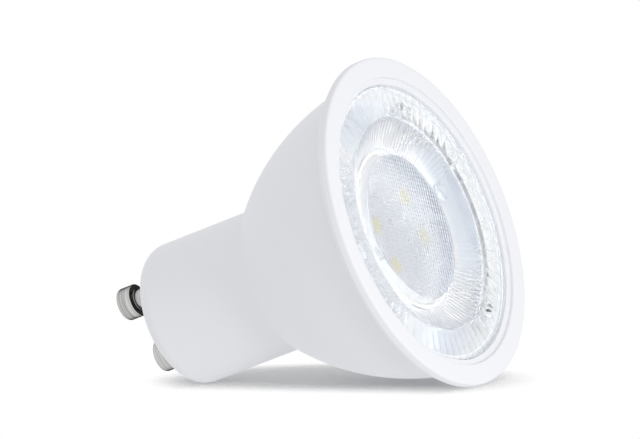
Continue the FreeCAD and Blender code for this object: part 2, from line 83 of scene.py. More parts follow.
RECESS_RADIUS = 21.0 * MM
HEAT_SINK_BORE_BASE = 19.08 * MM
HEAT_SINK_SEAT = 11.2 * MM

# Lens: sizes as in the part's source
LENS_RADIUS = 20.85 * MM
LENS_FRONT = 1.0 * MM
LENS_BACK = 2.2 * MM
WINDOW_RADIUS = 16.45 * MM
COLLIMATOR_FRONT_RADIUS = 16.3 * MM
COLLIMATOR_BASE_RADIUS = 13.0 * MM
COLLIMATOR_BULGE = 0.75
LED_BOARD_FRONT = 9.2 * MM
CAVITY_RADIUS = 11.45 * MM
CAVITY_CEILING = 5.6 * MM
RIB_ROWS = [(16.45 * MM, 18.06 * MM), (18.26 * MM, 19.86 * MM)]
RIB_COUNT = 72
GATE_ANGLE = math.radians(96.5)
GATE_HALF_WIDTH = 0.5 * MM
HOOK_ANGLES = [math.radians(angle) for angle in (54.0, 174.0, 294.0)]
HOOK_RADII = (18.2 * MM, 19.1 * MM)
HOOK_HALF_WIDTH = 1.5 * MM
HOOK_LENGTH = 3.8 * MM

# Lens: soft edges and a narrow gap to its seats
LENS_EDGE = 0.15 * MM
WINDOW_EDGE = 0.05 * MM
COLLIMATOR_FOOT_EDGE = 0.1 * MM
GATE_EDGE = 0.20 * MM
SEAT_GAP = 0.05 * MM

# Lens: window step, hollow, gate bar, ribs, flutes and dimples, finer than in the part's source
WINDOW_FRONT = 1.15 * MM
WINDOW_BEVEL = 0.15 * MM
CAVITY_BASE_RADIUS = 12.5 * MM
GATE_HEIGHT = 0.15 * MM
GATE_END_RADIUS = 20.7 * MM
RIB_STEPS = 6
RIB_HEIGHT = 0.045 * MM
RIB_RUN = 1.4 * MM
RIB_DIP = 0.08
FLUTE_COUNT = 116
FLUTE_STEPS = 26
FLUTE_HEIGHT = 0.05 * MM
FLUTE_FADE_STEPS = 2
LENSLET_PITCH = 0.65 * MM
LENSLET_HEIGHT = 0.08 * MM
LENSLET_STEPS = 6
LENSLET_GRID_REACH = 1.5
LENSLET_BORDER_GAP = 0.7

# LED packages: sizes as in the part's source, with soft edges and a domed filling
LED_TURN = math.radians(104.7)
LED_PAIR = 7.1 * MM
LED_ROW = 13.0 * MM
LED_HALF = 1.5 * MM
LED_FRONT = 8.5 * MM
LED_EDGE = 0.08 * MM
LED_CORNER = 0.12 * MM
WELL_HALF = 1.2 * MM
WELL_CORNER = 0.3 * MM
WELL_FLOOR = 8.85 * MM
WELL_FIT = 0.005 * MM
PHOSPHOR_EDGE_DROP = 0.06 * MM
PHOSPHOR_CROWN_HALF = 0.5 * MM
PHOSPHOR_CROWN_DROP = 0.02 * MM

# Contact pins: sizes as in the part's source, with soft edges
PIN_OFFSET = 5.0 * MM
PIN_TIP = 51.2 * MM
PIN_HEAD_RADIUS = 2.45 * MM
PIN_HEAD_HEIGHT = 2.45 * MM
PIN_TIP_ROUND = 0.35 * MM
PIN_SHOULDER_ROUND = 0.12 * MM
PIN_NECK_RADIUS = 1.5 * MM
PIN_NECK_ROUND = 0.15 * MM
PIN_BOSS_END = 40.7 * MM
PIN_TAIL_RADIUS = 1.1 * MM
PIN_COLLAR_RADIUS = 2.1 * MM
PIN_COLLAR_HEIGHT = 0.6 * MM
PIN_TAIL_END = 37.8 * MM
PIN_FIT = 0.05 * MM

# Meshes
ROUND_STEPS = 8
LATHE_SEGMENTS = 256
PIN_SEGMENTS = 128
LENS_SEGMENTS = 1160
LED_SEGMENTS = 64
SMOOTH_ANGLE = math.radians(32)
ON_AXIS = 1e-9
MERGE_DISTANCE = 1e-9
TRIANGLES_INSIDE = 1

# Finishes: colour and roughness wander between two values, over grains of a size and a height
FINISHES = {
    "white_housing": dict(
        name="white_plastic",
        dark=(0.795, 0.805, 0.835), light=(0.815, 0.825, 0.855),
        roughness=(0.40, 0.48), grain=0.25 * MM, bump=0.0008 * MM,
    ),
    "clear_lens": dict(
        name="clear_plastic",
        dark=(0.965, 0.975, 0.985), light=(0.985, 0.990, 1.0),
        roughness=(0.0, 0.02), grain=2.5 * MM, bump=0.002 * MM,
    ),
    # The dimpled plate is the same clear plastic as the rest of the lens; its far darker grey-blue
    # tint is painted shade, dimming the plate as if less light came through it.
    "dimpled_lens": dict(
        name="dimpled_plastic_shaded",
        dark=(0.56, 0.58, 0.63), light=(0.58, 0.60, 0.65),
        roughness=(0.23, 0.29), grain=2.5 * MM, bump=0.002 * MM,
    ),
    "pin_nickel": dict(
        name="nickel",
        dark=(0.10, 0.10, 0.098), light=(0.90, 0.90, 0.89),
        roughness=(0.16, 0.24), grain=0.12 * MM, bump=0.0004 * MM, metallic=1.0,
    ),
    "heat_sink_aluminium": dict(
        name="aluminium",
        dark=(0.88, 0.905, 0.935), light=(0.91, 0.93, 0.955),
        roughness=(0.45, 0.60), grain=0.4 * MM, bump=0.001 * MM,
    ),
    "white_board": dict(
        name="white_mask",
        dark=(0.92, 0.92, 0.92), light=(0.95, 0.95, 0.95),
        roughness=(0.30, 0.42), grain=0.5 * MM, bump=0.002 * MM,
    ),
    "led_white": dict(
        name="led_white",
        dark=(0.90, 0.90, 0.88), light=(0.94, 0.94, 0.92),
        roughness=(0.35, 0.45), grain=0.2 * MM, bump=0.001 * MM,
    ),
    "led_yellow": dict(
        name="led_yellow",
        dark=(0.96, 0.86, 0.46), light=(0.98, 0.90, 0.56),
        roughness=(0.40, 0.55), grain=0.15 * MM, bump=0.003 * MM,
    ),
    "screw_steel": dict(
        name="steel",
        dark=(0.80, 0.83, 0.86), light=(0.88, 0.90, 0.92),
        roughness=(0.40, 0.55), grain=0.15 * MM, bump=0.002 * MM, metallic=0.6,
    ),
    "brown_wire": dict(
        name="brown_sleeve",
        dark=(0.16, 0.075, 0.035), light=(0.21, 0.10, 0.05),
        roughness=(0.40, 0.52), grain=0.2 * MM, bump=0.002 * MM,
    ),
    "blue_wire": dict(
        name="blue_sleeve",
        dark=(0.04, 0.12, 0.42), light=(0.06, 0.16, 0.50),
        roughness=(0.40, 0.52), grain=0.2 * MM, bump=0.002 * MM,
    ),
    "white_wire": dict(
        name="white_wire",
        dark=(0.82, 0.82, 0.80), light=(0.86, 0.86, 0.84),
        roughness=(0.35, 0.50), grain=0.5 * MM, bump=0.002 * MM,
    ),
    "grey_wire": dict(
        name="grey_wire",
        dark=(0.60, 0.61, 0.62), light=(0.64, 0.65, 0.66),
        roughness=(0.35, 0.50), grain=0.5 * MM, bump=0.002 * MM,
    ),
    "green_board": dict(
        name="green_mask",
        dark=(0.03, 0.17, 0.06), light=(0.05, 0.24, 0.09),
        roughness=(0.28, 0.40), grain=0.6 * MM, bump=0.004 * MM,
    ),
    "capacitor_sleeve": dict(
        name="capacitor_sleeve",
        dark=(0.03, 0.03, 0.05), light=(0.05, 0.05, 0.08),
        roughness=(0.25, 0.38), grain=0.4 * MM, bump=0.003 * MM,
    ),
    "ferrite": dict(
        name="ferrite",
        dark=(0.05, 0.05, 0.05), light=(0.10, 0.095, 0.09),
        roughness=(0.55, 0.75), grain=0.15 * MM, bump=0.006 * MM,
    ),
    "copper": dict(
        name="copper",
        dark=(0.62, 0.26, 0.12), light=(0.75, 0.34, 0.17),
        roughness=(0.22, 0.36), grain=0.2 * MM, bump=0.004 * MM, metallic=1.0,
    ),
    "resistor_coat": dict(
        name="resistor_coat",
        dark=(0.36, 0.45, 0.48), light=(0.44, 0.54, 0.57),
        roughness=(0.42, 0.58), grain=0.2 * MM, bump=0.004 * MM,
    ),
    "chip_black": dict(
        name="chip_black",
        dark=(0.025, 0.025, 0.025), light=(0.05, 0.05, 0.05),
        roughness=(0.50, 0.65), grain=0.1 * MM, bump=0.004 * MM,
    ),
    "chip_tan": dict(
        name="chip_tan",
        dark=(0.45, 0.34, 0.22), light=(0.54, 0.42, 0.28),
        roughness=(0.45, 0.60), grain=0.1 * MM, bump=0.003 * MM,
    ),
}
GRAIN_DETAIL = 4.0
GRAIN_RANGE = (0.3, 0.7)
HOUSING_GLOSS = 0.1
PLASTIC_IOR = 1.5

# Turning lines on metal: how they are drawn out across the axis, their pitch and their depth
LINE_DETAIL = 3.0
LINE_STRETCH = (0.02, 0.02, 1.0)
NICKEL_LINES = (0.16 * MM, 0.006 * MM)
ALUMINIUM_LINES = (0.25 * MM, 0.002 * MM)

# Nickel: painted shade where it looks back at the base, a darker tone for the shaded gap it
# mirrors, and its tint at grazing angles
SHOULDER_SHADE_FACING = (-0.9, -0.4)
SHOULDER_PAINTED_SHADE = (0.07, 0.07, 0.07)
NICKEL_EDGE = (0.0, 0.0, 0.0)

# LED board: circle at which its white mask ends, and the metal outside it
MASK_RADIUS = 14.8 * MM
MASK_EDGE = 0.03 * MM
BARE_METAL = (0.88, 0.905, 0.935)

# Heat sink: tones of its wall, mouth and lip, each in front of a depth
WALL_DEPTH = (9.4 * MM, 9.8 * MM)
WALL_TONE = (0.88, 0.905, 0.94)
MOUTH_DEPTH = (3.7 * MM, 4.7 * MM)
MOUTH_TONE = (0.93, 0.93, 0.915)
LIP_DEPTH = (2.25 * MM, 2.30 * MM)
LIP_TONE = (0.74, 0.765, 0.79)

# Finish of each piece that keeps the solid of the part's source
CAD_FINISHES = {
    "heat_sink": "heat_sink_aluminium",
    "led_board": "white_board",
    "board_screws": "screw_steel",
    "live_wire": "brown_wire",
    "neutral_wire": "blue_wire",
    "led_wire_positive": "white_wire",
    "led_wire_negative": "grey_wire",
    "driver_board": "green_board",
    "input_capacitor": "capacitor_sleeve",
    "output_capacitor": "capacitor_sleeve",
    "choke_core": "ferrite",
    "choke_winding": "copper",
    "fusible_resistor": "resistor_coat",
    "bridge_rectifier": "chip_black",
    "driver_chip": "chip_black",
    "output_diode": "chip_black",
    "chip_resistors": "chip_black",
    "chip_capacitors": "chip_tan",
}

# Sockets of the node that mixes two colours
MIX_SHARE = 0
MIX_FIRST = 6
MIX_SECOND = 7
MIX_RESULT = 2

# Studio: light
WORLD_DIFFUSE = 0.85
KEY_DIRECTION = (0.65, 0.00, 0.76)
KEY_DISTANCE = 350 * MM
KEY_SIZE = 120 * MM
KEY_POWER = 0.34
GLOSSY_BLUR = 0.0
MOST_BOUNCES = 24
DIFFUSE_BOUNCES = 12
GLOSSY_BOUNCES = 12
TRANSMISSION_BOUNCES = 24

# Studio: ground on which the lamp lies in the photograph, and ground under the standing lamp
FLOOR_ROUGHNESS = (0.85, 0.95)
FLOOR_GRAIN = 4 * MM
FLOOR_BUMP = 0.001 * MM
FLOOR_DROP = 0.45 * MM
FLOOR_TILT = math.radians(8.0)
FLOOR_CONTACT = math.radians(36.67)
# Lying ground: grey, and seen only in an oval round the lamp's contact that fades out, is shifted
# and is cut at its near edge, so that it is a painted shadow as well as taking the real one.
LYING_SHADOW_GREY = (0.75, 0.75, 0.75)
LYING_FADE = (17 * MM, 33 * MM)
LYING_SQUEEZE = 2.0
LYING_SHIFT = (3.5 * MM, 6.5 * MM)
LYING_EDGE = (0.5 * MM, 12.5 * MM)
SLAT_WIDTH = 0.1 * MM
SLAT_TURN = math.radians(24.0)
STANDING_SIZE = 400 * MM
STANDING_WHITE = (0.92, 0.92, 0.92)
STANDING_FADE = (40 * MM, 95 * MM)
STANDING_SQUEEZE = 1.0


def corner(radius, height, rounding=0.0):
    """Corner of a half section: where it is and how much it is rounded."""
    return (np.array([radius, height]), rounding)


def rounded_outline(corners):
    """Points of a half section with its corners rounded by tangent arcs."""
    points = []
    count = len(corners)
    for index, (here, rounding) in enumerate(corners):
        if rounding == 0:
            points.append(here)
            continue
        before = corners[index - 1][0] - here
        after = corners[(index + 1) % count][0] - here
        before = before / np.linalg.norm(before)
        after = after / np.linalg.norm(after)
        half_angle = math.acos(np.clip(before @ after, -1, 1)) / 2
        setback = rounding / math.tan(half_angle)
        bisector = (before + after) / np.linalg.norm(before + after)
        centre = here + bisector * rounding / math.sin(half_angle)
        start = here + before * setback - centre
        end = here + after * setback - centre
        turn = math.atan2(start[0] * end[1] - start[1] * end[0], start @ end)
        for step in range(ROUND_STEPS + 1):
            angle = turn * step / ROUND_STEPS
            spin = np.array(
                [[math.cos(angle), -math.sin(angle)], [math.sin(angle), math.cos(angle)]]
            )
            points.append(centre + spin @ start)
    return points


def new_mesh_object(name, vertices, faces):
    mesh = bpy.data.meshes.new(name)
    mesh.from_pydata(vertices, [], faces)
    mesh.validate()
    mesh.polygons.foreach_set("use_smooth", [True] * len(mesh.polygons))
    mesh.set_sharp_from_angle(angle=SMOOTH_ANGLE)
    piece = bpy.data.objects.new(name, mesh)
    bpy.context.scene.collection.objects.link(piece)
    return piece


def lathe(name, outline, segments=LATHE_SEGMENTS, centre=(0.0, 0.0)):
    """Closed solid of revolution about an upright axis.

    The closed half section runs anticlockwise.
    """
    vertices = []
    rings = []
    for radius, height in outline:
        if radius < ON_AXIS:
            rings.append([len(vertices)] * segments)
            vertices.append((centre[0], centre[1], height))
            continue
        ring = []
        for index in range(segments):
            angle = 2 * math.pi * index / segments
            x = centre[0] + radius * math.cos(angle)
            y = centre[1] + radius * math.sin(angle)
            ring.append(len(vertices))
            vertices.append((x, y, height))
        rings.append(ring)
    faces = []
    for lower, upper in zip(rings, rings[1:] + rings[:1]):
        for index in range(segments):
            after = (index + 1) % segments
            loop = [lower[index], lower[after], upper[after], upper[index]]
            loop = [v for k, v in enumerate(loop) if v != loop[k - 1]]
            if len(loop) > 2:
                faces.append(loop)
    return new_mesh_object(name, vertices, faces)


def ring_walls(rings, count):
    """Faces between rings of points that follow each other."""
    faces = []
    for k in range(rings - 1):
        low = k * count
        high = low + count
        for i in range(count):
            after = (i + 1) % count
            faces.append((low + i, high + i, high + after, low + after))
    return faces


def last_cap(rings, count):
    """Face that closes the last ring of points."""
    last = (rings - 1) * count
    return [last + count - 1 - i for i in range(count)]


def cut_away(piece, tools):
    """Cuts other closed meshes out of a piece and removes them."""
    for tool in tools:
        cut = piece.modifiers.new("cut", "BOOLEAN")
        cut.object = tool
        cut.operation = "DIFFERENCE"
        cut.solver = "EXACT"
    graph = bpy.context.evaluated_depsgraph_get()
    mesh = bpy.data.meshes.new_from_object(piece.evaluated_get(graph))
    piece.modifiers.clear()
    piece.data = mesh
    mesh.set_sharp_from_angle(angle=SMOOTH_ANGLE)
    for tool in tools:
        bpy.data.objects.remove(tool)


def cup_centre():
    """Centre of the cup's arc: radius and height."""
    rise = CUP_DEPTH - RIM_HEIGHT
    fall = CUP_MOUTH_RADIUS - BARREL_RADIUS
    half = math.hypot(rise, fall) / 2
    offset = math.sqrt(CUP_ARC_RADIUS ** 2 - half ** 2)
    height = (RIM_HEIGHT + CUP_DEPTH) / 2 - offset * fall / (2 * half)
    radius = (CUP_MOUTH_RADIUS + BARREL_RADIUS) / 2 - offset * rise / (2 * half)
    return radius, height


def cup_arc(depth_in, low, high, steps):
    """Points along the cup's arc, moved in by a wall, from one height to another."""
    centre_radius, centre_height = cup_centre()
    reach = CUP_ARC_RADIUS - depth_in
    points = []
    for height in np.linspace(low, high, steps):
        bulge = math.sqrt(reach ** 2 - (height - centre_height) ** 2)
        points.append((centre_radius + bulge, height))
    return points


def inside_crease():
    """Height at which the cup's inside reaches the barrel's bore."""
    centre_radius, centre_height = cup_centre()
    reach = CUP_ARC_RADIUS - CUP_WALL
    return centre_height + math.sqrt(reach ** 2 - (BARREL_BORE - centre_radius) ** 2)


def make_housing():
    """White moulding: rim, cup, barrel and base, with rounded edges and a hole for each pin."""
    outside = [
        corner(RECESS_MOUTH_RADIUS, 0, RECESS_MOUTH_ROUND),
        corner(RIM_RADIUS, 0, RIM_EDGE_ROUND),
        corner(RIM_RADIUS, RIM_EDGE_HEIGHT, RIM_BACK_ROUND),
        corner(RIM_BACK_RADIUS, RIM_HEIGHT, RIM_BACK_ROUND),
        corner(CUP_MOUTH_RADIUS, RIM_HEIGHT, CUP_CREASE_ROUND),
    ]
    arc = cup_arc(0, RIM_HEIGHT + CUP_CREASE_REACH, CUP_DEPTH - CUP_CREASE_REACH, CUP_STEPS)
    outside += [corner(*point) for point in arc]
    outside.append(corner(BARREL_RADIUS, CUP_DEPTH, BARREL_CREASE_ROUND))
    outside.append(corner(BARREL_RADIUS, BODY_LENGTH, BASE_EDGE_ROUND))
    inside = [corner(0, BODY_LENGTH), corner(0, BASE_INSIDE), corner(BARREL_BORE, BASE_INSIDE)]
    inner_arc = cup_arc(CUP_WALL, inside_crease(), HEAT_SINK_SEAT, CUP_WALL_STEPS)
    inside += [corner(*point) for point in inner_arc]
    inside += [
        corner(HEAT_SINK_BORE_BASE, HEAT_SINK_SEAT),
        corner(RECESS_RADIUS, LENS_BACK),
        corner(RECESS_RADIUS, RECESS_MOUTH_DEPTH, RECESS_LEDGE_ROUND),
        corner(RECESS_MOUTH_RADIUS, RECESS_MOUTH_DEPTH, RECESS_LEDGE_ROUND),
    ]
    housing = lathe("housing_moulding", rounded_outline(outside + inside))
    hole_outline = [
        (0, BASE_INSIDE - CUP_WALL),
        (PIN_NECK_RADIUS + PIN_FIT, BASE_INSIDE - CUP_WALL),
        (PIN_NECK_RADIUS + PIN_FIT, BODY_LENGTH - PIN_NECK_ROUND),
        (PIN_NECK_RADIUS + PIN_FIT + 2 * PIN_NECK_ROUND, BODY_LENGTH + PIN_NECK_ROUND),
        (0, BODY_LENGTH + PIN_NECK_ROUND),
    ]
    holes = [
        lathe(f"hole{sign}", hole_outline, PIN_SEGMENTS, (sign * PIN_OFFSET, 0.0))
        for sign in (-1, 1)
    ]
    cut_away(housing, holes)
    return housing


def make_pin(sign, name):
    """Turned contact pin with softened edges."""
    outline = [
        corner(0, PIN_TAIL_END),
        corner(PIN_TAIL_RADIUS, PIN_TAIL_END),
        corner(PIN_TAIL_RADIUS, PIN_BOSS_END - PIN_COLLAR_HEIGHT),
        corner(PIN_COLLAR_RADIUS, PIN_BOSS_END - PIN_COLLAR_HEIGHT),
        corner(PIN_COLLAR_RADIUS, PIN_BOSS_END),
        corner(PIN_NECK_RADIUS, PIN_BOSS_END),
        corner(PIN_NECK_RADIUS, PIN_TIP - PIN_HEAD_HEIGHT, PIN_NECK_ROUND),
        corner(PIN_HEAD_RADIUS, PIN_TIP - PIN_HEAD_HEIGHT, PIN_SHOULDER_ROUND),
        corner(PIN_HEAD_RADIUS, PIN_TIP, PIN_TIP_ROUND),
        corner(0, PIN_TIP),
    ]
    return lathe(name, rounded_outline(outline), PIN_SEGMENTS, (sign * PIN_OFFSET, 0.0))


def lenslet_height(x, y):
    """Height of the dimples under the centre plate: a square lattice of domes on its corner."""
    u = (x + y) / (math.sqrt(2) * LENSLET_PITCH)
    v = (x - y) / (math.sqrt(2) * LENSLET_PITCH)
    du = 2 * (u - np.floor(u)) - 1
    dv = 2 * (v - np.floor(v)) - 1
    return LENSLET_HEIGHT * (1 - (du ** 2 + dv ** 2) / 2)


def place_in_pitch(angles, count):
    """Place of points on a ring across one of its equal pitches, from -1 to 1."""
    turn = count * angles / (2 * np.pi)
    return 2 * (turn - np.floor(turn)) - 1


def sideways(angles, radius, angle):
    """Distance of points on a ring from a radial line, large on the far half of the ring."""
    turn = angles - angle
    return np.where(np.cos(turn) > 0, radius * np.abs(np.sin(turn)), RIM_RADIUS)


def rib_lift(angles, radius):
    """How far the back of the flange stands up at a radius: two rows of ribs and three hooks."""
    lift = np.zeros(LENS_SEGMENTS)
    run = min(1.0, max(0.0, (radius - RIB_ROWS[0][0]) / RIB_RUN))
    swell = run ** 2 * (3 - 2 * run)
    along = place_in_pitch(angles, RIB_COUNT)
    for inner, outer in RIB_ROWS:
        if not inner <= radius <= outer:
            continue
        across = 2 * (radius - inner) / (outer - inner) - 1
        lift += RIB_HEIGHT * swell * (1 - RIB_DIP * across ** 4) * (1 - along ** 2)
    for angle in HOOK_ANGLES:
        beside = sideways(angles, radius, angle)
        if HOOK_RADII[0] <= radius <= HOOK_RADII[1]:
            lift = np.where(beside < HOOK_HALF_WIDTH, HOOK_LENGTH, lift)
    return lift


def collimator_rings(angles):
    """Rings of the collimator's outside, from its foot to the flange, with fine flutes."""
    taper = COLLIMATOR_FRONT_RADIUS - COLLIMATOR_BASE_RADIUS
    slope = np.array([taper, LED_BOARD_FRONT - LENS_BACK])
    outward = np.array([slope[1], slope[0]]) / np.linalg.norm(slope)
    across = place_in_pitch(angles, FLUTE_COUNT)
    rings = []
    for step in range(FLUTE_STEPS + 1):
        share = 1 - step / FLUTE_STEPS
        height = LENS_BACK + share * (LED_BOARD_FRONT - SEAT_GAP - LENS_BACK)
        radius = COLLIMATOR_FRONT_RADIUS - taper * share ** (1 / COLLIMATOR_BULGE)
        edge = min(1.0, min(step, FLUTE_STEPS - step) / FLUTE_FADE_STEPS)
        lift = -FLUTE_HEIGHT * edge * across ** 2
        rings.append((radius + outward[0] * lift, height + outward[1] * lift))
    return rings


def polar_rings(angles):
    """Rings of the lens from the hollow's ceiling round its back to the front window's edge."""
    flat = np.ones(LENS_SEGMENTS)
    rings = []

    def ring(radius, height):
        rings.append((radius * flat, height * flat))

    def gate_ring(radius, share):
        beside = sideways(angles, radius, GATE_ANGLE)
        rise = np.clip((GATE_HALF_WIDTH - beside) / GATE_EDGE + 0.5, 0, 1)
        rings.append((radius * flat, LENS_FRONT - share * GATE_HEIGHT * rise))

    ring(CAVITY_RADIUS, CAVITY_CEILING)
    ring(CAVITY_BASE_RADIUS, LED_BOARD_FRONT - SEAT_GAP)
    ring(COLLIMATOR_BASE_RADIUS - COLLIMATOR_FOOT_EDGE, LED_BOARD_FRONT - SEAT_GAP)
    rings += collimator_rings(angles)
    for inner, outer in RIB_ROWS:
        for radius in np.linspace(inner, outer, RIB_STEPS):
            rings.append((radius * flat, LENS_BACK - SEAT_GAP + rib_lift(angles, radius)))
    ring(LENS_RADIUS, LENS_BACK - SEAT_GAP)
    ring(LENS_RADIUS, LENS_FRONT + LENS_EDGE)
    ring(LENS_RADIUS - LENS_EDGE, LENS_FRONT)
    gate_ring(GATE_END_RADIUS - GATE_EDGE, 0)
    gate_ring(GATE_END_RADIUS - 2 * GATE_EDGE, 1)
    gate_ring(WINDOW_RADIUS + 2 * WINDOW_EDGE, 1)
    ring(WINDOW_RADIUS, LENS_FRONT + WINDOW_EDGE)
    ring(WINDOW_RADIUS - WINDOW_BEVEL + WINDOW_EDGE, WINDOW_FRONT - WINDOW_EDGE)
    ring(WINDOW_RADIUS - WINDOW_BEVEL - WINDOW_EDGE, WINDOW_FRONT)
    return rings


def ceiling_patch(angles):
    """Points and triangles of the dimpled ceiling, with the hollow's own rim as their border."""
    border = [
        Vector((CAVITY_RADIUS * math.cos(a), CAVITY_RADIUS * math.sin(a))) for a in angles
    ]
    step = LENSLET_PITCH / LENSLET_STEPS
    reach = int(CAVITY_RADIUS / step * LENSLET_GRID_REACH)
    grid = np.arange(-reach, reach + 1) * step
    u, v = np.meshgrid(grid, grid)
    x = ((u + v) / math.sqrt(2)).ravel()
    y = ((u - v) / math.sqrt(2)).ravel()
    keep = np.hypot(x, y) < CAVITY_RADIUS - LENSLET_BORDER_GAP * step
    inside = [Vector((a, b)) for a, b in zip(x[keep], y[keep])]
    count = len(border)
    edges = [(i, (i + 1) % count) for i in range(count)]
    found, _, faces, *_ = delaunay_2d_cdt(
        border + inside, edges, [], TRIANGLES_INSIDE, MERGE_DISTANCE
    )
    return found, faces, count


def make_lens():
    """Clear lens: stepped front, ribbed ring, fluted collimator and a dimpled centre plate.

    The number of the first dimpled face comes with it.
    """
    angles = 2 * np.pi * np.arange(LENS_SEGMENTS) / LENS_SEGMENTS
    rings = polar_rings(angles)
    vertices = []
    for radii, heights in rings:
        x = radii * np.cos(angles)
        y = radii * np.sin(angles)
        vertices += list(zip(x, y, heights))
    faces = ring_walls(len(rings), LENS_SEGMENTS)
    faces.append(last_cap(len(rings), LENS_SEGMENTS))
    found, patch, border = ceiling_patch(angles)
    base = len(vertices)
    for point in found[border:]:
        edge = min(1.0, (CAVITY_RADIUS - point.length) / LENSLET_PITCH)
        lift = edge * lenslet_height(point.x, point.y)
        vertices.append((point.x, point.y, CAVITY_CEILING + lift))
    first_dimpled = len(faces)
    for triangle in patch:
        faces.append([v if v < border else base + v - border for v in triangle])
    return new_mesh_object("lens_moulding", vertices, faces), first_dimpled


def rounded_square(half, rounding, segments):
    """Points round a square with rounded corners."""
    points = []
    per_corner = segments // 4
    centre = (half - rounding) * math.sqrt(2)
    for quarter in range(4):
        turn = quarter * math.pi / 2
        middle = turn + math.pi / 4
        for step in range(per_corner):
            angle = turn + (step / (per_corner - 1)) * math.pi / 2
            x = centre * math.cos(middle) + rounding * math.cos(angle)
            y = centre * math.sin(middle) + rounding * math.sin(angle)
            points.append((x, y))
    return points


def turned_with_board(x, y):
    """Point turned about the axis as the LED board is."""
    return (
        x * math.cos(LED_TURN) - y * math.sin(LED_TURN),
        x * math.sin(LED_TURN) + y * math.cos(LED_TURN),
    )


def stacked_squares(name, levels, place):
    """Closed solid through rounded squares at given heights, turned with the LED board."""
    vertices = []
    for half, rounding, height in levels:
        for x, y in rounded_square(half, rounding, LED_SEGMENTS):
            along, across = turned_with_board(x, y)
            vertices.append((place[0] + along, place[1] + across, height))
    faces = [list(range(LED_SEGMENTS))]
    faces += ring_walls(len(levels), LED_SEGMENTS)
    faces.append(last_cap(len(levels), LED_SEGMENTS))
    return new_mesh_object(name, vertices, faces)


def led_places():
    """Centres of the four LEDs: two rows of two."""
    return [
        turned_with_board(row * LED_ROW / 2, pair * LED_PAIR / 2)
        for row in (1, -1)
        for pair in (1, -1)
    ]


def make_led_body(number, place):
    """White package with softened edges and a square well."""
    levels = [
        (LED_HALF, LED_CORNER, LED_BOARD_FRONT),
        (LED_HALF, LED_CORNER, LED_FRONT + LED_EDGE),
        (LED_HALF - LED_EDGE, LED_CORNER, LED_FRONT),
        (WELL_HALF + LED_EDGE, WELL_CORNER, LED_FRONT),
        (WELL_HALF, WELL_CORNER, LED_FRONT + LED_EDGE),
        (WELL_HALF, WELL_CORNER, WELL_FLOOR),
    ]
    return stacked_squares(f"led_package_{number}", levels, place)


def make_led_phosphor(number, place):
    """Yellow filling of the well with a slightly domed front."""
    half = WELL_HALF - WELL_FIT
    levels = [
        (half, WELL_CORNER, WELL_FLOOR - WELL_FIT),
        (half, WELL_CORNER, LED_FRONT + PHOSPHOR_EDGE_DROP + LED_EDGE),
        (half - LED_EDGE, WELL_CORNER, LED_FRONT + PHOSPHOR_EDGE_DROP),
        (PHOSPHOR_CROWN_HALF, WELL_CORNER, LED_FRONT + PHOSPHOR_CROWN_DROP),
    ]
    return stacked_squares(f"led_filling_{number}", levels, place)


def set_input(node, name, value):
    node.inputs[name].default_value = value


def shader_of(material):
    return material.node_tree.nodes["Principled BSDF"]


def textured(name, dark, light, roughness, grain, bump, metallic=0.0):
    """Surface whose colour and roughness wander between two values, with a fine grain."""
    material = bpy.data.materials.new(name)
    material.use_nodes = True
    nodes = material.node_tree.nodes
    links = material.node_tree.links
    shader = shader_of(material)
    set_input(shader, "Metallic", metallic)
    coordinates = nodes.new("ShaderNodeTexCoord")
    noise = nodes.new("ShaderNodeTexNoise")
    set_input(noise, "Scale", 1 / grain)
    set_input(noise, "Detail", GRAIN_DETAIL)
    links.new(coordinates.outputs["Object"], noise.inputs["Vector"])
    colour = nodes.new("ShaderNodeMix")
    colour.data_type = "RGBA"
    colour.inputs[MIX_FIRST].default_value = (*dark, 1.0)
    colour.inputs[MIX_SECOND].default_value = (*light, 1.0)
    links.new(noise.outputs["Fac"], colour.inputs[MIX_SHARE])
    links.new(colour.outputs[MIX_RESULT], shader.inputs["Base Color"])
    spread = nodes.new("ShaderNodeMapRange")
    set_input(spread, "From Min", GRAIN_RANGE[0])
    set_input(spread, "From Max", GRAIN_RANGE[1])
    set_input(spread, "To Min", roughness[0])
    set_input(spread, "To Max", roughness[1])
    links.new(noise.outputs["Fac"], spread.inputs["Value"])
    links.new(spread.outputs["Result"], shader.inputs["Roughness"])
    relief = nodes.new("ShaderNodeBump")
    set_input(relief, "Strength", 1.0)
    set_input(relief, "Distance", bump)
    links.new(noise.outputs["Fac"], relief.inputs["Height"])
    links.new(relief.outputs["Normal"], shader.inputs["Normal"])
    return material


def add_turning_lines(material, pitch, depth):
    """Adds fine lines across the lamp's axis, as a lathe leaves them."""
    nodes = material.node_tree.nodes
    links = material.node_tree.links
    shader = shader_of(material)
    coordinates = nodes.new("ShaderNodeTexCoord")
    stretch = nodes.new("ShaderNodeMapping")
    set_input(stretch, "Scale", LINE_STRETCH)
    lines = nodes.new("ShaderNodeTexNoise")
    set_input(lines, "Scale", 1 / pitch)
    set_input(lines, "Detail", LINE_DETAIL)
    relief = nodes.new("ShaderNodeBump")
    set_input(relief, "Strength", 1.0)
    set_input(relief, "Distance", depth)
    links.new(coordinates.outputs["Object"], stretch.inputs["Vector"])
    links.new(stretch.outputs["Vector"], lines.inputs["Vector"])
    links.new(lines.outputs["Fac"], relief.inputs["Height"])
    links.new(shader.inputs["Normal"].links[0].from_socket, relief.inputs["Normal"])
    links.new(relief.outputs["Normal"], shader.inputs["Normal"])
    colour = shader.inputs["Base Color"].links[0].from_node
    links.new(lines.outputs["Fac"], colour.inputs[MIX_SHARE])


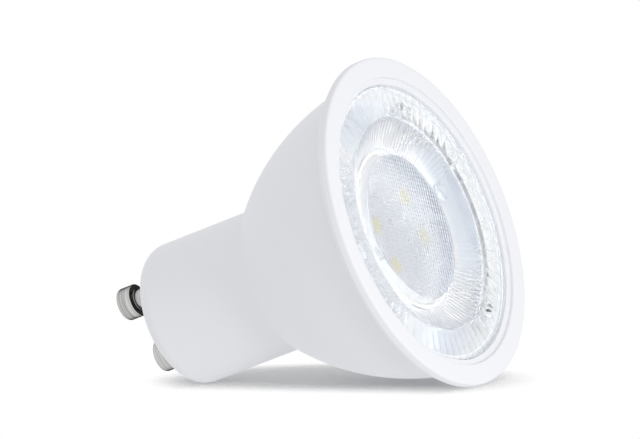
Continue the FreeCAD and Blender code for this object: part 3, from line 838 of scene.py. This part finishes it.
def blend_tone(material, value, span, tone):
    """Gives a material another tone where a value is at a span's start or further out."""
    nodes = material.node_tree.nodes
    links = material.node_tree.links
    shader = shader_of(material)
    edge = nodes.new("ShaderNodeMapRange")
    set_input(edge, "From Min", span[0])
    set_input(edge, "From Max", span[1])
    links.new(value, edge.inputs["Value"])
    colour = nodes.new("ShaderNodeMix")
    colour.data_type = "RGBA"
    links.new(edge.outputs["Result"], colour.inputs[MIX_SHARE])
    colour.inputs[MIX_FIRST].default_value = (*tone, 1.0)
    links.new(shader.inputs["Base Color"].links[0].from_socket, colour.inputs[MIX_SECOND])
    links.new(colour.outputs[MIX_RESULT], shader.inputs["Base Color"])


def add_bare_edge(material):
    """Lets the board's white mask end at a circle, with bare metal outside it."""
    nodes = material.node_tree.nodes
    links = material.node_tree.links
    coordinates = nodes.new("ShaderNodeTexCoord")
    flatten = nodes.new("ShaderNodeVectorMath")
    flatten.operation = "MULTIPLY"
    flatten.inputs[1].default_value = (1.0, 1.0, 0.0)
    links.new(coordinates.outputs["Object"], flatten.inputs[0])
    distance = nodes.new("ShaderNodeVectorMath")
    distance.operation = "LENGTH"
    links.new(flatten.outputs["Vector"], distance.inputs[0])
    span = (MASK_RADIUS + MASK_EDGE, MASK_RADIUS - MASK_EDGE)
    blend_tone(material, distance.outputs["Value"], span, BARE_METAL)


def add_tone_in_front(material, depth, tone):
    """Gives a piece another tone in front of a depth along the lamp's axis."""
    nodes = material.node_tree.nodes
    coordinates = nodes.new("ShaderNodeTexCoord")
    place = nodes.new("ShaderNodeSeparateXYZ")
    material.node_tree.links.new(coordinates.outputs["Object"], place.inputs["Vector"])
    blend_tone(material, place.outputs["Z"], depth, tone)


def add_painted_shoulder_shade(material):
    """Paints shade on what looks back at the lamp's base, as under the heads of the pins: a darker
    tone for the shaded gap they mirror.
    """
    nodes = material.node_tree.nodes
    geometry = nodes.new("ShaderNodeNewGeometry")
    facing = nodes.new("ShaderNodeSeparateXYZ")
    material.node_tree.links.new(geometry.outputs["Normal"], facing.inputs["Vector"])
    blend_tone(material, facing.outputs["Z"], SHOULDER_SHADE_FACING, SHOULDER_PAINTED_SHADE)


def make_materials():
    """Materials by name of their slot."""
    made = {slot: textured(**finish) for slot, finish in FINISHES.items()}
    for slot in ("clear_lens", "dimpled_lens"):
        set_input(shader_of(made[slot]), "Transmission Weight", 1.0)
        set_input(shader_of(made[slot]), "IOR", PLASTIC_IOR)
    set_input(shader_of(made["white_housing"]), "Specular IOR Level", HOUSING_GLOSS)
    nickel = made["pin_nickel"]
    add_turning_lines(nickel, *NICKEL_LINES)
    # painted shade under the pins' heads, where they look back at the base
    add_painted_shoulder_shade(nickel)
    set_input(shader_of(nickel), "Specular Tint", (*NICKEL_EDGE, 1.0))
    aluminium = made["heat_sink_aluminium"]
    add_turning_lines(aluminium, *ALUMINIUM_LINES)
    add_tone_in_front(aluminium, WALL_DEPTH, WALL_TONE)
    add_tone_in_front(aluminium, MOUTH_DEPTH, MOUTH_TONE)
    add_tone_in_front(aluminium, LIP_DEPTH, LIP_TONE)
    add_bare_edge(made["white_board"])
    return made


def dress(piece, material):
    piece.data.materials.clear()
    piece.data.materials.append(material)


def stand_for(piece, node, slot):
    """Lets a piece stand for a CAD node with one of the record's finishes."""
    dress(piece, materials[slot])
    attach(piece, "root")
    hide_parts(node)


def photo_axes():
    """Directions of the photograph in the lamp's frame: right, up and towards the camera."""
    to_side = Vector((math.sin(CAMERA_AZIMUTH), -math.cos(CAMERA_AZIMUTH), 0))
    axis = Vector((0, 0, 1))
    towards = math.sin(AXIS_TO_VIEW) * to_side - math.cos(AXIS_TO_VIEW) * axis
    back = (axis + math.cos(AXIS_TO_VIEW) * towards) / math.sin(AXIS_TO_VIEW)
    across = towards.cross(back)
    right = math.cos(AXIS_IN_PICTURE) * back + math.sin(AXIS_IN_PICTURE) * across
    up = towards.cross(right)
    return right, up, towards


def add_camera():
    """Camera at the photograph's angle and distance."""
    right, up, towards = photo_axes()
    offset_right = (PHOTO_WIDTH / 2 - RIM_CENTRE_PIXEL[0]) / PIXELS_PER_MM * MM
    offset_up = (RIM_CENTRE_PIXEL[1] - PHOTO_HEIGHT / 2) / PIXELS_PER_MM * MM
    target = right * offset_right + up * offset_up
    camera_data = bpy.data.cameras.new("camera")
    camera = bpy.data.objects.new("camera", camera_data)
    bpy.context.scene.collection.objects.link(camera)
    rotation = Matrix((right, up, towards)).transposed().to_4x4()
    camera.matrix_world = Matrix.Translation(target + towards * CAMERA_DISTANCE) @ rotation
    camera_data.sensor_width = SENSOR_WIDTH
    camera_data.lens = SENSOR_WIDTH * CAMERA_DISTANCE * PIXELS_PER_MM / (PHOTO_WIDTH * MM)
    camera_data.clip_start = CLIP_START
    camera_data.clip_end = CLIP_END
    bpy.context.scene.camera = camera


def add_world():
    """White surroundings: full white where they are seen, mirrored or shine through the lens."""
    world = bpy.data.worlds.new("white_studio")
    bpy.context.scene.world = world
    world.use_nodes = True
    world.cycles.sampling_method = "NONE"
    nodes = world.node_tree.nodes
    links = world.node_tree.links
    background = nodes["Background"]
    set_input(background, "Color", (1, 1, 1, 1))
    path = nodes.new("ShaderNodeLightPath")
    seen = path.outputs["Is Camera Ray"]
    for kind in ("Is Glossy Ray", "Is Transmission Ray"):
        either = nodes.new("ShaderNodeMath")
        either.operation = "MAXIMUM"
        links.new(seen, either.inputs[0])
        links.new(path.outputs[kind], either.inputs[1])
        seen = either.outputs["Value"]
    strength = nodes.new("ShaderNodeMapRange")
    set_input(strength, "To Min", WORLD_DIFFUSE)
    links.new(seen, strength.inputs["Value"])
    links.new(strength.outputs["Result"], background.inputs["Strength"])


def add_key_light():
    """Large soft lamp from the photograph's right and in front."""
    shares = zip(photo_axes(), KEY_DIRECTION)
    direction = sum((axis * share for axis, share in shares), Vector((0, 0, 0))).normalized()
    light_data = bpy.data.lights.new("key", "AREA")
    light_data.shape = "DISK"
    light_data.size = KEY_SIZE
    light_data.energy = KEY_POWER
    light = bpy.data.objects.new("key", light_data)
    light.location = Vector((0, 0, BODY_LENGTH / 2)) + direction * KEY_DISTANCE
    light.rotation_euler = direction.to_track_quat("Z", "Y").to_euler()
    bpy.context.scene.collection.objects.link(light)


def soft_step(material, value, span):
    """Share that rises softly from 0 to 1 while a value crosses a span."""
    step = material.node_tree.nodes.new("ShaderNodeMapRange")
    step.interpolation_type = "SMOOTHSTEP"
    set_input(step, "From Min", span[0])
    set_input(step, "From Max", span[1])
    material.node_tree.links.new(value, step.inputs["Value"])
    return step.outputs["Result"]


def larger(material, first, second):
    """The larger of two values."""
    either = material.node_tree.nodes.new("ShaderNodeMath")
    either.operation = "MAXIMUM"
    material.node_tree.links.new(first, either.inputs[0])
    material.node_tree.links.new(second, either.inputs[1])
    return either.outputs["Value"]


def floor_material(name, white, fade_range, squeeze, near_edge):
    """Pale or grey ground seen from its front only, which fades out in an oval and at its near
    edge; where the tone is grey and the oval hugs the lamp, the patch is a painted shadow.
    """
    material = textured(name, white, white, FLOOR_ROUGHNESS, FLOOR_GRAIN, FLOOR_BUMP)
    nodes = material.node_tree.nodes
    links = material.node_tree.links
    shader = shader_of(material)
    set_input(shader, "Specular IOR Level", 0.0)
    coordinates = nodes.new("ShaderNodeTexCoord")
    oval = nodes.new("ShaderNodeVectorMath")
    oval.operation = "MULTIPLY"
    oval.inputs[1].default_value = (1.0, squeeze, 1.0)
    links.new(coordinates.outputs["Object"], oval.inputs[0])
    distance = nodes.new("ShaderNodeVectorMath")
    distance.operation = "LENGTH"
    links.new(oval.outputs["Vector"], distance.inputs[0])
    fade = soft_step(material, distance.outputs["Value"], fade_range)
    place = nodes.new("ShaderNodeSeparateXYZ")
    links.new(coordinates.outputs["Object"], place.inputs["Vector"])
    edge = soft_step(material, place.outputs["Y"], near_edge)
    geometry = nodes.new("ShaderNodeNewGeometry")
    faded = larger(material, fade, edge)
    gone = larger(material, faded, geometry.outputs["Backfacing"])
    clear = nodes.new("ShaderNodeBsdfTransparent")
    mix = nodes.new("ShaderNodeMixShader")
    links.new(gone, mix.inputs["Fac"])
    links.new(shader.outputs["BSDF"], mix.inputs[1])
    links.new(clear.outputs["BSDF"], mix.inputs[2])
    links.new(mix.outputs["Shader"], nodes["Material Output"].inputs["Surface"])
    return material


def slatted_ground(reach, width, turn):
    """Ground of narrow slats side by side, each turned a little to face the lamp's front."""
    rise = width * math.tan(turn) / 2
    vertices = []
    faces = []
    for slat in range(math.ceil(2 * reach / width)):
        start = slat * width - reach
        end = start + width
        vertices += [(start, -reach, -rise), (end, -reach, rise)]
        vertices += [(end, reach, rise), (start, reach, -rise)]
        faces.append(tuple(range(4 * slat, 4 * slat + 4)))
    return vertices, faces


def add_floor(name, shape, centre, across, normal, material):
    """Ground of a shape through a point, with one of its directions and its normal."""
    piece = new_mesh_object(name, *shape)
    third = normal.cross(across)
    rotation = Matrix((across, third, normal)).transposed().to_4x4()
    piece.matrix_world = Matrix.Translation(centre) @ rotation
    dress(piece, material)
    return piece


def add_lying_ground():
    """The photograph's ground, which touches the lamp at its rim and near the end of its barrel."""
    outward = Vector((-math.cos(FLOOR_CONTACT), -math.sin(FLOOR_CONTACT), 0))
    rim_contact = outward * RIM_RADIUS + Vector((0, 0, RIM_EDGE_HEIGHT))
    barrel_end = Vector((0, 0, BODY_LENGTH - BASE_EDGE_ROUND))
    barrel_contact = outward * BARREL_RADIUS + barrel_end
    along = (barrel_contact - rim_contact).normalized()
    normal = (-outward - along * along.dot(-outward)).normalized()
    to_camera = normal.cross(along)
    if to_camera.dot(photo_axes()[2]) < 0:
        to_camera = -to_camera
    tilted = normal * math.cos(FLOOR_TILT) + to_camera * math.sin(FLOOR_TILT)
    inward = normal * math.sin(FLOOR_TILT) - to_camera * math.cos(FLOOR_TILT)
    centre = (rim_contact + barrel_contact) / 2 - tilted * FLOOR_DROP
    centre = centre + along * LYING_SHIFT[0] + inward * LYING_SHIFT[1]
    # The grey of this ground, seen only in an oval round the lamp's contact, is a painted shadow
    # beside the real shadow it receives.
    white = floor_material("lying_painted_shadow", LYING_SHADOW_GREY, LYING_FADE, LYING_SQUEEZE, LYING_EDGE)
    slats = slatted_ground(LYING_FADE[1], SLAT_WIDTH, SLAT_TURN)
    lying = add_floor("lying_ground", slats, centre, tilted.cross(inward), tilted, white)
    lying.visible_glossy = False


def add_standing_ground():
    """Ground under the lamp standing on its rim: one sheet, which the camera alone sees."""
    white = floor_material(
        "standing_white", STANDING_WHITE, STANDING_FADE, STANDING_SQUEEZE, STANDING_FADE
    )
    sheet = slatted_ground(STANDING_SIZE / 2, STANDING_SIZE, 0.0)
    centre = Vector((0, 0, -SEAT_GAP))
    across = Vector((1, 0, 0))
    normal = Vector((0, 0, 1))
    standing = add_floor("standing_ground", sheet, centre, across, normal, white)
    standing.visible_diffuse = False
    standing.visible_glossy = False
    standing.visible_transmission = False
    standing.visible_shadow = False


materials = make_materials()
stand_for(make_housing(), "housing", "white_housing")
lens, first_dimpled = make_lens()
stand_for(lens, "lens", "clear_lens")
# the dimpled faces take the darker tint, which is painted shade
lens.data.materials.append(materials["dimpled_lens"])
for face in lens.data.polygons[first_dimpled:]:
    face.material_index = 1
stand_for(make_pin(1, "live_pin"), "contact_pin_live", "pin_nickel")
stand_for(make_pin(-1, "neutral_pin"), "contact_pin_neutral", "pin_nickel")
for number, place in enumerate(led_places(), 1):
    stand_for(make_led_body(number, place), f"led_body_{number}", "led_white")
    stand_for(make_led_phosphor(number, place), f"led_phosphor_{number}", "led_yellow")
for node, slot in CAD_FINISHES.items():
    dress(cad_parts[node], materials[slot])

add_camera()
add_world()
add_key_light()
add_lying_ground()
add_standing_ground()
scene = bpy.context.scene
scene.view_settings.view_transform = "Standard"
scene.cycles.blur_glossy = GLOSSY_BLUR
scene.cycles.max_bounces = MOST_BOUNCES
scene.cycles.diffuse_bounces = DIFFUSE_BOUNCES
scene.cycles.transmission_bounces = TRANSMISSION_BOUNCES
scene.cycles.glossy_bounces = GLOSSY_BOUNCES
